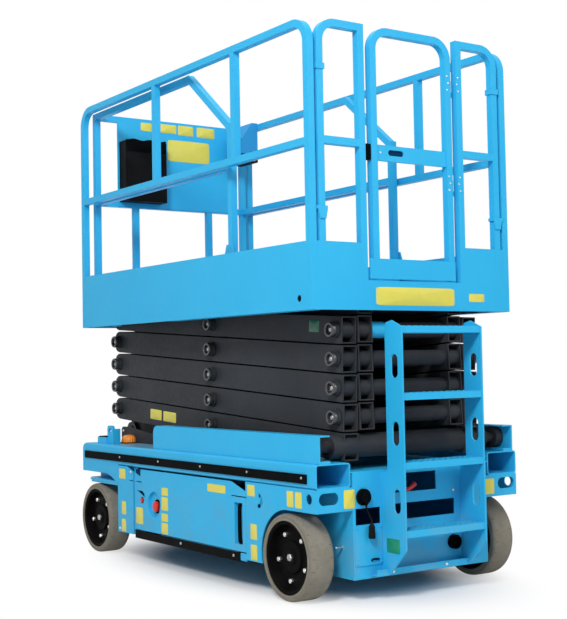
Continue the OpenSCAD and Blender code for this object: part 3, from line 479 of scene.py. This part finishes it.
def eased(points, count):
    """Smooth path through points: cubic pieces whose slopes are the neighbours' mean slopes."""
    points = np.asarray(points, float)
    slope = np.gradient(points, axis=0)
    place = np.linspace(0, len(points) - 1, count)
    low = np.minimum(place.astype(int), len(points) - 2)
    t = (place - low)[:, None]
    return ((2 * t**3 - 3 * t**2 + 1) * points[low] + (t**3 - 2 * t**2 + t) * slope[low]
            + (3 * t**2 - 2 * t**3) * points[low + 1] + (t**3 - t**2) * slope[low + 1])


def standing_plate(line, y, thick):
    """Upright plate along x: a four-cornered section, from the lower to the upper line and as
    thick as given outwards from y, carried along x and closed at both ends.  The line holds
    rows of (x, lower z, upper z), read between them in straight steps."""
    line = np.asarray(line, float)
    x = np.unique(np.concatenate([np.linspace(line[0, 0], line[-1, 0], 40), line[:, 0]]))
    low, top = (np.interp(x, line[:, 0], line[:, k]) for k in (1, 2))
    near, far = np.full_like(x, y), np.full_like(x, y + thick)
    loops = np.stack([np.stack([x, near, low], -1), np.stack([x, near, top], -1),
                      np.stack([x, far, top], -1), np.stack([x, far, low], -1)], 1)
    ends = np.repeat(loops[[0, -1]].mean(1)[:, None], 4, 1)
    return np.concatenate([ends[:1], loops, ends[1:]])


HEX_HEAD = [(0, 0), (1, 0), (1, 0.75), (0.82, 1.0), (0, 1.0)]
DOME_HEAD = [(0, 0), (1, 0), (0.97, 0.35), (0.80, 0.75), (0.45, 0.96), (0, 1.0)]


def screws(seats, axis, wide, tall, columns=14):
    """Domed heads: the head's profile scaled to its width and height, turned at each seat."""
    return turned(np.asarray(DOME_HEAD) * (wide / 2, tall), seats, axis, columns)


def bolts(seats, axis, wide, tall):
    """Six-sided heads: the head's profile scaled to its width and height, turned at each seat."""
    return turned(np.asarray(HEX_HEAD) * (wide / 2, tall), seats, axis, 6)


def on_side(places, side):
    """Places of the left side, or their mirror images on the right one."""
    return np.asarray(places, float) * (1, side, 1)


def on_both(make, places, *sizes):
    """The grids that make gives for the places of the left side and for their mirror images."""
    return np.concatenate([make(on_side(places, side), (0, side, 0), *sizes) for _, side in SIDES])


# Charging lead

SOCKET = np.array([-1167, 336, 420])
PLUG_TOP = (-1167, 308, 345)
LEAD_R = 4
LEAD_STEPS = [(0, 0), (-1, -12), (-6, -26), (-14, -42), (-22, -56), (-27, -66), (-28, -75)]
PLUG = [(0, 0), (5, 0), (6.5, -9), (11, -15), (14, -23), (14, -27), (12, -29), (14, -31),
        (14, -35), (12, -37), (14, -39), (14, -43), (12, -45), (15, -48), (15, -69),
        (13.5, -71), (9, -71), (9, -61), (0, -61)]

lead_path = eased([SOCKET + (0, y, z) for y, z in LEAD_STEPS], 25)
lead = put("charging_lead", carried(lead_path, round_section(LEAD_R), FORWARD),
           "chassis", LEAD_RUBBER)
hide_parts("inlet_lead")
plug = put("lead_plug", turned(PLUG, [PLUG_TOP], UP), "chassis", LEAD_RUBBER, crease=50)
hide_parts("inlet_plug")
lead_points = (lead_path + (MID, 0, 0)) / MM_PER_M


# Wheels

WHEELS = {"fl": (962, 1), "fr": (962, -1), "rl": (-921, 1), "rr": (-921, -1)}
WHEEL_Y, WHEEL_R, RIM_R, TYRE_HALF = 527.5, 190.5, 160.5, 63.5
BOLT_COUNT, BOLT_RING_R = 5, 106
HUB_WASHER = [(0, 33), (34, 33), (34, 36), (31, 38), (22, 38), (0, 38)]
RIM_LIP = [(146, 44), (154, 46), (157, 54), (155, 58), (151, 58), (148, 52), (146, 44)]


def tyre_profile(rows=30):
    """Cross-section from bead to bead: a flattened arch (width by |cos|^0.30, height by
    |sin|^0.38) with a shallow ring pressed into each wall, closed along the rim."""
    turn = np.linspace(np.pi, 0, rows)
    wide = np.sign(np.cos(turn)) * np.abs(np.cos(turn)) ** 0.30 * (TYRE_HALF - 0.5)
    tall = RIM_R + (WHEEL_R - RIM_R) * np.abs(np.sin(turn)) ** 0.38
    pressed = 1.6 * np.exp(-((tall - RIM_R - 12) / 3.5) ** 2)
    wide = np.sign(wide) * (np.abs(wide) - pressed)
    arch = np.stack([tall, wide], -1)
    return np.vstack([arch, arch[:1]])


clock = np.arange(BOLT_COUNT) * 2 * np.pi / BOLT_COUNT + 0.5
bolt_ring = np.stack([np.sin(clock), np.zeros(BOLT_COUNT), np.cos(clock)], -1) * BOLT_RING_R

for corner, (axle_x, side) in WHEELS.items():
    body = "wheel_" + corner
    out = (0, side, 0)
    centre = np.array([[axle_x, side * WHEEL_Y, WHEEL_R]])
    tyre = put("tyre_cover_" + corner, turned(tyre_profile(), centre, out, 120), body, TYRE,
               mapped=True)
    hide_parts("tyre_" + corner)
    put("wheel_bolts_" + corner, bolts(centre + bolt_ring + (0, side * 22, 0), out, 24, 13),
        body, ZINC)
    put("hub_washer_" + corner, turned(HUB_WASHER, centre, out, 40), body, BLACK_STEEL)
    put("hub_nut_" + corner, bolts(centre + (0, side * 37, 0), out, 34, 12), body, STEEL)
    put("rim_lip_" + corner, turned(RIM_LIP, centre, out, 72), body, BLACK_STEEL)


# Chassis sides

SKIN_Y, TRAY_Y = 583, 580
STRIP_SCREWS = [(x, 590, 543) for x in (664, 230, -195, -615, -1046)]
GUARD_BOLTS = [(x, 582, 150) for x in (14, -482)]
PLATE_SCREWS = [(548, SKIN_Y, 470), (682, SKIN_Y, 160)]
for word, side in SIDES:
    out = (0, side, 0)
    put("strip_screws_" + word, screws(on_side(STRIP_SCREWS, side), out, 12, 3.0),
        "chassis", STEEL)
    put("guard_bolts_" + word, bolts(on_side(GUARD_BOLTS, side), out, 15, 5),
        "guard_" + word, STEEL)
    put("side_plate_screws_" + word, screws(on_side(PLATE_SCREWS, side), out, 13, 4),
        "chassis", ZINC)

BOX_LINER = [(706, 408, 497), (1060, 408, 497), (1116, 408, 452)]
ARCH_CORNER = [(703, 396, 470), (740, 412, 470), (780, 430, 470), (830, 442, 470), (880, 447, 470)]
SHELF_LIP = [(706, 386, 400), (1046, 386, 400)]
CHEEK = [(560, 602, 652), (640, 602, 660), (914, 602, 692), (990, 602, 690), (1004, 602, 676)]
CHEEK_BOLT = (975, 405, 668)
PLATE_GRIP = [(517, 476, 497), (590, 496, 497)]
TRAY_GRIP = [(444, 453, 490), (508, 473, 490)]
for word, side in SIDES:
    put("wheel_box_liner_" + word, standing_plate(BOX_LINER, side * 482, side * 4),
        "chassis", BLUE)
    put("wheel_arch_corner_" + word, standing_plate(ARCH_CORNER, side * 578, side * 4),
        "chassis", BLUE)
    put("wheel_shelf_lip_" + word, standing_plate(SHELF_LIP, side * 572, side * 4),
        "chassis", BLUE)
    put("pivot_cheek_" + word, standing_plate(CHEEK, side * 401, side * 4), "chassis", CHARCOAL)
    put("pivot_cheek_bolt_" + word, bolts(on_side([CHEEK_BOLT], side), (0, side, 0), 15, 6),
        "chassis", ZINC)
    # Dark sheets inside the triangular grip cuts of the side plate and the tray: painted shade in
    # the recesses.
    put("plate_grip_shade_" + word, standing_plate(PLATE_GRIP, side * 580, side * 2),
        "chassis", SHADE_BLUE)
    put("tray_grip_shade_" + word, standing_plate(TRAY_GRIP, side * 577.5, side * 2),
        "tray_" + word, SHADE_BLUE)

SIDE_PLATES = [(613, 684, 428, 481), (609, 657, 238, 308), (611, 659, 146, 213),
               (-668, -606, 434, 485), (-681, -629, 240, 310), (-681, -629, 148, 217),
               (-974, -926, 412, 481), (-1037, -988, 411, 480)]
TRAY_PLATES = [(421, 496, 203, 290), (147, 214, 372, 412), (149, 216, 297, 365),
               (151, 218, 241, 281), (152, 219, 177, 233), (-410, -246, 427, 465)]
put("side_plates", upright_sheets(SIDE_PLATES, SKIN_Y), "chassis", YELLOW)
put("tray_plates", upright_sheets(TRAY_PLATES, TRAY_Y), "tray_l", YELLOW)

STOP_BUTTON = [(0, 0), (26, 0), (26, 3), (17, 4), (17, 9), (26, 10), (28, 13), (27, 17),
               (22, 20), (12, 22.5), (0, 23)]
STOP_COLLAR = [(0, 0), (36, 0), (36, 3), (33, 5), (29, 5), (28, 2), (0, 2)]
KEY_COLLAR = [(0, 0), (19, 0), (19, 5), (17, 8), (12, 9), (0, 9)]
KEY_KNOB = [(0, 8), (12, 8), (12, 13), (9, 16), (0, 16)]
GROUND_STOP = (286, 564, 308)
KEY_SWITCH = (426, 572, 330)
HANDLE = [(-527, 563, 388), (-527, 571, 386), (-527, 576, 372), (-527, 577, 300),
          (-527, 576, 228), (-527, 571, 214), (-527, 563, 212)]
for word, side in SIDES:
    out = (0, side, 0)
    tray = "tray_" + word
    stop, key = on_side([GROUND_STOP], side), on_side([KEY_SWITCH], side)
    put("ground_stop_" + word, turned(STOP_BUTTON, stop, out, 40), tray, STOP_RED)
    put("ground_stop_collar_" + word, turned(STOP_COLLAR, stop, out, 40), tray, BLACK_PLASTIC)
    put("key_collar_" + word, turned(KEY_COLLAR, key, out, 28), tray, BLACK_PLASTIC)
    put("key_knob_" + word, turned(KEY_KNOB, key, out, 28), tray, STOP_RED)
    grip = eased(on_side(HANDLE, side), 40)
    put("tray_grip_" + word, carried(grip, round_section(9, 16), FORWARD), tray, BLACK_PLASTIC)


def ribbed_pad(x, y, z, ribs):
    """Step pad: height is a crowned slab with cosine ribs across it, its rim turned down."""
    u, v = np.meshgrid(np.linspace(-1, 1, 61), np.linspace(-1, 1, 17), indexing="ij")
    rim = (1 - np.abs(u) ** 24) * (1 - np.abs(v) ** 12)
    rise = rim * (4.5 + 1.2 * np.cos(u * math.pi * ribs))
    return np.stack([np.mean(x) + u * np.ptp(x) / 2, np.mean(y) + v * np.ptp(y) / 2,
                     z - 0.4 + rise], -1)


for word, side in SIDES:
    put("step_pad_" + word, ribbed_pad((890, 993), (side * 502, side * 558), 640, 9), "chassis",
        BLACK_PLASTIC, around=False)


# Beacon

BEACON_SEAT = (865, 431, 603)
BEACON = [(0, 4), (40, 4), (40.5, 10), (39, 23), (34, 36), (25, 43), (12, 46.5), (0, 47)]
BEACON_BASE = [(0, 0), (46, 0), (46, 3), (44, 5), (36, 6), (0, 6)]
beacon = put("beacon_lens", turned(BEACON, [BEACON_SEAT], UP, 96, flutes=16, depth=0.035),
             "chassis", LENS)
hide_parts("beacon")
put("beacon_base", turned(BEACON_BASE, [BEACON_SEAT], UP, 48), "chassis", BLACK_PLASTIC)


# Rear end

REAR_X = -1143
REAR_PLATES = [(379, 438, 407, 487), (-440, -384, 409, 480)]
PANEL_SCREWS = [(-1147, y, z) for y in (244, 373) for z in (168, 319)]
PANEL_LATCH = [(-1151, 300, 176), (-1151, 289, 182), (-1151, 258, 180)]
WALL_SCREWS = [(REAR_X, -184, 445), (-1190, -93, 126), (-1190, 213, 126)]
GREASE_PIN = [(0, 0), (7, 0), (7, 6), (4.5, 7), (4.5, 32), (6, 33), (6, 39), (4, 41), (0, 41)]
GREASE_SEAT = (-1064, 390, 234)
INLET_SCREWS = [(-1157, 336 + 28 * math.cos(a), 452 + 28 * math.sin(a))
                for a in (0.8, 2.36, 3.93, 5.5)]
RELEASE = [(-1140, 110, 464), (-1154, 105, 466), (-1159, 90, 471), (-1159, 62, 485),
           (-1154, 52, 489), (-1140, 48, 490)]

put("rear_plates", end_sheets(REAR_PLATES, REAR_X), "chassis", YELLOW)
put("ladder_plate", upright_sheets([(-1264, -1176, 209, 271)], 234), "chassis", GREEN)
put("rear_panel_screws", screws(PANEL_SCREWS, REARWARD, 12, 4), "chassis", BLUE)
put("rear_panel_latch", carried(eased(PANEL_LATCH, 12), round_section(4, 10), FORWARD),
    "chassis", BLACK_STEEL)
put("rear_wall_screws", screws(WALL_SCREWS, REARWARD, 15, 6), "chassis", ZINC)
for word, side in SIDES:
    put("axle_grease_pin_" + word,
        turned(GREASE_PIN, on_side([GREASE_SEAT], side), (0, side, 0), 16), "chassis", ZINC)
put("inlet_screws", screws(INLET_SCREWS, REARWARD, 8, 3), "chassis", BLACK_STEEL)
put("release_handle", carried(eased(RELEASE, 30), round_section(9), UP), "chassis", STOP_RED)

TREAD_TOPS = (1185, 896, 600, 310)
STUD = [(0, 0), (9, 0), (8.0, 1.2), (6.0, 1.6), (5.2, 0.6), (0, 0.6)]
# Black disc in each stud where the tread is holed: painted shade inside the hole.
HOLE_SHADE = [(0, 0.5), (5.2, 0.5), (5.0, 0.9), (0, 0.9)]
stud_seats = [(x, y, z) for z in TREAD_TOPS for x in (-1280, -1246, -1212)
              for y in np.linspace(-204, 204, 13)]
put("tread_studs", turned(STUD, stud_seats, UP, 12), "chassis", BLUE)
# Black discs stand for the tread's holes: painted shade.
put("tread_hole_shade", turned(HOLE_SHADE, stud_seats, UP, 12), "chassis", BLACK_STEEL)


# Arms

LEVELS = 5
PIN_ROW, ROW_PITCH, REACH = 666, 127.5, 1045
PIN_Y, ARM_Y = 406, 392
PIN_RECESS = 9
PIN_RING = [(0, 0), (32, 0), (33, 3), (33, 20), (31, 24), (23, 24), (21, 20), (21, PIN_RECESS),
            (0, PIN_RECESS)]


def pin_ring(seats, out):
    return turned(PIN_RING, seats, out)


for level in range(1, LEVELS + 1):
    low = PIN_ROW + ROW_PITCH * (level - 1)
    pins = [(0, PIN_Y, low + ROW_PITCH / 2)]
    pins += [(REACH, PIN_Y, low)] if level > 1 else []
    pins += [(-REACH, PIN_Y, low + ROW_PITCH)] if level < LEVELS else []
    inner = "inner_%d" % level
    put("pin_rings_%d" % level, on_both(pin_ring, pins), inner, PIN_PAINT)
    put("pin_bolts_%d" % level, on_both(bolts, np.add(pins, (0, PIN_RECESS, 0)), 22, 7),
        inner, STEEL)

SLEEVE = [(35.2, 130), (37, 132), (37, 219), (35.2, 221), (35.2, 130)]
SLEEVE_SEAT = (-REACH, 0, PIN_ROW + 4 * ROW_PITCH)
put("rear_cross_sleeve", turned(SLEEVE, [SLEEVE_SEAT], LEFT, 40), "inner_4", BLUE)

TILT = math.atan2(ROW_PITCH, 2 * REACH)
slope = (-math.cos(TILT), 0, -math.sin(TILT))
square = (-math.sin(TILT), 0, math.cos(TILT))
ARM_PLATE_SEATS = [(611, ARM_Y, 767), (458, ARM_Y, 757.5)]
put("arm_plates", sheets(ARM_PLATE_SEATS, [(128, 55), (140, 54)], slope, square),
    "outer_1", YELLOW)
# The top arm's plate takes the darker green: painted shade.
put("top_arm_plate", sheets([(-888, ARM_Y, 1199)], [(78, 56)], slope, square),
    "outer_5", SHADED_GREEN)


# Platform

END_X = -1134
SKIRT_PLATES = [(-229, 230, 1281, 1362), (-416, -321, 1303, 1340)]
DRAIN_PLUG = (-1043, 577, 1310)
HINGE_TOPS = (2318, 1850)
JAMB_SCREWS = [(END_X, -279 + dy, z + dz) for z in HINGE_TOPS
               for dy, dz in ((-4, 32), (4, 0), (-5, -32))]
GATE_SCREWS = [(END_X, -219 + dy, z + dz) for z in HINGE_TOPS
               for dy, dz in ((4, 32), (-3, 0), (3, -32))]
LATCH_X = -1108

put("skirt_plates", end_sheets(SKIRT_PLATES, END_X), "platform", YELLOW)
for word, side in SIDES:
    put("skirt_drain_plug_" + word,
        screws(on_side([DRAIN_PLUG], side), (0, side, 0), 29, 1.5, columns=28),
        "platform", BLACK_PLASTIC)
put("jamb_hinge_screws", screws(JAMB_SCREWS, REARWARD, 9, 3), "platform", ZINC)
put("gate_hinge_screws", screws(GATE_SCREWS, REARWARD, 9, 3), "gate", ZINC)
put("gate_latch_block", sheets([(LATCH_X, 252, 1960)], [(26, 72)], (0, -1, 0), UP, thick=22),
    "gate", BLACK_PLASTIC)
# Dark blue block over the gate's slot: painted shade where the slot is.
put("gate_slot_shade", sheets([(LATCH_X, 86, 1964)], [(84, 46)], (0, -1, 0), UP, thick=12),
    "gate", SHADE_BLUE)
put("gate_latch_screw", screws([(-1128, 183, 1961)], REARWARD, 9, 3), "gate", ZINC)
put("post_screws", on_both(screws, [(-1117, 551, 1805)], 11, 3.5), "platform", ZINC)


# Extension and controls

PANEL_X = 1075
PANEL_PLATES = [(146, 219, 2430, 2479), (-21, 98, 2430, 2483), (-139, -34, 2425, 2485),
                (-289, -164, 2423, 2485), (-250, 40, 2263, 2392)]
CONSOLE_STOP = (880, -442, 2295)


def wavy_lid(x, y, z):
    """Document box lid: a strip whose top edge waves as cos(5 pi u) and whose face bellies out."""
    u, v = np.meshgrid(np.linspace(0, 1, 49), np.linspace(0, 1, 13), indexing="ij")
    top = z[1] - 8 * (1 - np.cos(5 * math.pi * u)) / 2
    belly = 6 * np.sin(math.pi * v) * np.sin(math.pi * u) ** 0.3
    return np.stack([x - belly - 1, y[0] + (y[1] - y[0]) * u, z[0] + (top - z[0]) * v], -1)


put("panel_plates", end_sheets(PANEL_PLATES, PANEL_X), "extension", YELLOW)
put("document_box_lid", wavy_lid(995, (95, 359), (2285, 2362)), "extension", BLACK_PLASTIC,
    around=False)
put("console_stop", turned(STOP_BUTTON, [CONSOLE_STOP], REARWARD, 36), "extension", STOP_RED)
put("console_stop_collar", turned(STOP_COLLAR, [CONSOLE_STOP], REARWARD, 36), "extension",
    BLACK_PLASTIC)


# Floor and light

def studio_floor(name):
    """Pale floor that takes the shadow near the object and goes to plain white further off."""
    w = bench(name)
    oval = w.node("ShaderNodeVectorMath", {"operation": "MULTIPLY"},
                  {0: w.place(), 1: (0.60, 1.12, 0.0)})
    away = w.node("ShaderNodeVectorMath", {"operation": "LENGTH"}, {0: oval}, "Value")
    tone = w.blend(w.noise(3.0, 3.0) * 0.2, rgb(0.86, 0.86, 0.86), rgb(0.80, 0.80, 0.80))
    matt = w.node("ShaderNodeBsdfDiffuse", {}, {"Color": tone})
    white = w.node("ShaderNodeEmission", {}, {"Color": rgb(1, 1, 1), "Strength": 1.0})
    share = away.band(0.52, 1.0) * w.seen_straight()
    both = w.node("ShaderNodeMixShader", {}, {0: share, 1: matt, 2: white})
    w.node("ShaderNodeOutputMaterial", {}, {"Surface": both})
    return bpy.data.materials[name]


def lay_floor(reach=60, rings=24, columns=64):
    """Round floor: rings of points at radii that grow as the square of their share."""
    ring, turn = np.meshgrid(np.linspace(0, 1, rings) ** 2 * reach, full_turn(columns),
                             indexing="ij")
    points = np.stack([ring * np.cos(turn), ring * np.sin(turn), np.full_like(ring, -0.001)], -1)
    j = np.arange(columns)
    k = (j + 1) % columns
    base = (np.arange(rings - 1) * columns)[:, None]
    faces = np.stack([base + j, base + columns + j, base + columns + k, base + k], -1)
    mesh = bpy.data.meshes.new("studio_floor")
    mesh.from_pydata(points.reshape(-1, 3).tolist(), [], faces.reshape(-1, 4).tolist())
    mesh.materials.append(studio_floor("pale_floor"))
    floor = bpy.data.objects.new("studio_floor", mesh)
    bpy.context.scene.collection.objects.link(floor)


def soft_lamp(name, place, aim, size, power):
    """Square area lamp at a place, turned to its aim."""
    lamp = bpy.data.lights.new(name, "AREA")
    lamp.size = size
    lamp.energy = power
    stand = bpy.data.objects.new(name, lamp)
    stand.location = place
    stand.rotation_euler = (Vector(aim) - Vector(place)).to_track_quat("-Z", "Y").to_euler()
    bpy.context.scene.collection.objects.link(stand)


def light_world():
    """Even pale sky for light; plain white where the camera, a gloss or a clear piece looks."""
    world = bpy.data.worlds.new("studio_sky")
    world.use_nodes = True
    world.node_tree.nodes.clear()
    w = Wire(world.node_tree)
    sky = w.node("ShaderNodeBackground", {}, {"Color": rgb(0.97, 0.98, 1.0), "Strength": 0.36})
    white = w.node("ShaderNodeBackground", {}, {"Color": rgb(1, 1, 1), "Strength": 1.0})
    both = w.node("ShaderNodeMixShader", {}, {0: w.seen_straight(), 1: sky, 2: white})
    w.node("ShaderNodeOutputWorld", {}, {"Surface": both})
    bpy.context.scene.world = world


lay_floor()
light_world()
soft_lamp("key_lamp", (-5.2, 5.6, 6.0), (0, 0, 1.1), 2.0, 530)
soft_lamp("rear_lamp", (-6.5, -2.5, 4.0), (0, 0, 1.2), 3.0, 95)
soft_lamp("top_lamp", (0.5, 0.5, 7.0), (0, 0, 1.0), 4.0, 120)
